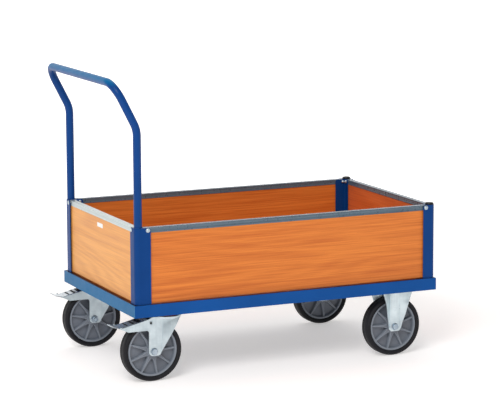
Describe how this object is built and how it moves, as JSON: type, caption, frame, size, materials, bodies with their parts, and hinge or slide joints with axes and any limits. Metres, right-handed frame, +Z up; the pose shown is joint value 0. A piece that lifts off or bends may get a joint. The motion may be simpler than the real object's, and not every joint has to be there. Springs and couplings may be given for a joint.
{
  "type": "platform trolley",
  "caption": "Four-wheeled platform trolley with a low boarded box body, steel corner posts, a tubular push handle, braked swivel castors at the handle end and fixed castors at the front.",
  "frame": {"origin": "middle of the whole trolley's bounding box, on the floor", "axes": "+X from the push handle towards the front, along the long side; +Y across, to the pusher's left; +Z up"},
  "size_m": [1.1484, 0.66, 0.978],
  "materials": {
    "blue_paint": "satin powder coat",
    "beech_board": "beech decor board, satin",
    "edging_steel": "zinc plated, satin",
    "zinc_steel": "zinc plated",
    "tyre_rubber": "matte",
    "wheel_grey": "moulded, satin",
    "black_plastic": "moulded",
    "black_rubber": "matte",
    "red_seal": "matte",
    "white_label": "printed foil, plain"
  },
  "bodies": {
    "root": {"frame": "blue_paint", "deck_board": "beech_board", "push_handle": "blue_paint", "label_plate": "white_label", "post_rear_right": "blue_paint", "screw_side_rear_right": "zinc_steel", "screw_end_rear_right": "zinc_steel", "post_rear_left": "blue_paint", "screw_side_rear_left": "zinc_steel", "screw_end_rear_left": "zinc_steel", "post_front_right": "blue_paint", "screw_side_front_right": "zinc_steel", "screw_end_front_right": "zinc_steel", "post_front_left": "blue_paint", "screw_side_front_left": "zinc_steel", "screw_end_front_left": "zinc_steel", "cap_front_right": "black_plastic", "cap_front_left": "black_plastic", "right_wall_panel": "beech_board", "right_wall_edging": "edging_steel", "left_wall_panel": "beech_board", "left_wall_edging": "edging_steel", "rear_wall_panel": "beech_board", "rear_wall_edging": "edging_steel", "front_wall_panel": "beech_board", "front_wall_edging": "edging_steel", "castor_rear_right_plate": "zinc_steel", "castor_rear_right_kingpin": "zinc_steel", "castor_rear_right_seal": "red_seal", "castor_front_right_bracket": "zinc_steel", "castor_front_right_axle_bolt": "zinc_steel", "castor_front_right_axle_nut": "zinc_steel", "castor_front_right_axle_sleeve": "zinc_steel", "castor_rear_left_plate": "zinc_steel", "castor_rear_left_kingpin": "zinc_steel", "castor_rear_left_seal": "red_seal", "castor_front_left_bracket": "zinc_steel", "castor_front_left_axle_bolt": "zinc_steel", "castor_front_left_axle_nut": "zinc_steel", "castor_front_left_axle_sleeve": "zinc_steel"},
    "rear_right_fork": {"castor_rear_right_fork": "zinc_steel", "castor_rear_right_axle_bolt": "zinc_steel", "castor_rear_right_axle_nut": "zinc_steel", "castor_rear_right_axle_sleeve": "zinc_steel"},
    "rear_right_wheel": {"castor_rear_right_rim": "wheel_grey", "castor_rear_right_tyre": "tyre_rubber"},
    "rear_right_pedal": {"castor_rear_right_brake_pedal": "zinc_steel", "castor_rear_right_brake_shoe": "black_rubber"},
    "front_right_wheel": {"castor_front_right_rim": "wheel_grey", "castor_front_right_tyre": "tyre_rubber"},
    "rear_left_fork": {"castor_rear_left_fork": "zinc_steel", "castor_rear_left_axle_bolt": "zinc_steel", "castor_rear_left_axle_nut": "zinc_steel", "castor_rear_left_axle_sleeve": "zinc_steel"},
    "rear_left_wheel": {"castor_rear_left_rim": "wheel_grey", "castor_rear_left_tyre": "tyre_rubber"},
    "rear_left_pedal": {"castor_rear_left_brake_pedal": "zinc_steel", "castor_rear_left_brake_shoe": "black_rubber"},
    "front_left_wheel": {"castor_front_left_rim": "wheel_grey", "castor_front_left_tyre": "tyre_rubber"}
  },
  "joints": [
    {"name": "rear_right_swivel", "type": "hinge", "parent": "root", "child": "rear_right_fork", "pos_m": [-0.37925, -0.272, 0.21], "axis": [0, 0, 1], "continuous": true},
    {"name": "rear_right_wheel_spin", "type": "hinge", "parent": "rear_right_fork", "child": "rear_right_wheel", "pos_m": [-0.43425, -0.272, 0.1], "axis": [0, 1, 0], "continuous": true},
    {"name": "rear_right_brake", "type": "hinge", "parent": "rear_right_fork", "child": "rear_right_pedal", "pos_m": [-0.44425, -0.272, 0.194], "axis": [0, -1, 0], "range_deg": [0, 9]},
    {"name": "front_right_wheel_spin", "type": "hinge", "parent": "root", "child": "front_right_wheel", "pos_m": [0.43075, -0.272, 0.1], "axis": [0, 1, 0], "continuous": true},
    {"name": "rear_left_swivel", "type": "hinge", "parent": "root", "child": "rear_left_fork", "pos_m": [-0.37925, 0.272, 0.21], "axis": [0, 0, 1], "continuous": true},
    {"name": "rear_left_wheel_spin", "type": "hinge", "parent": "rear_left_fork", "child": "rear_left_wheel", "pos_m": [-0.43425, 0.272, 0.1], "axis": [0, 1, 0], "continuous": true},
    {"name": "rear_left_brake", "type": "hinge", "parent": "rear_left_fork", "child": "rear_left_pedal", "pos_m": [-0.44425, 0.272, 0.194], "axis": [0, -1, 0], "range_deg": [0, 9]},
    {"name": "front_left_wheel_spin", "type": "hinge", "parent": "root", "child": "front_left_wheel", "pos_m": [0.43075, 0.272, 0.1], "axis": [0, 1, 0], "continuous": true}
  ]
}
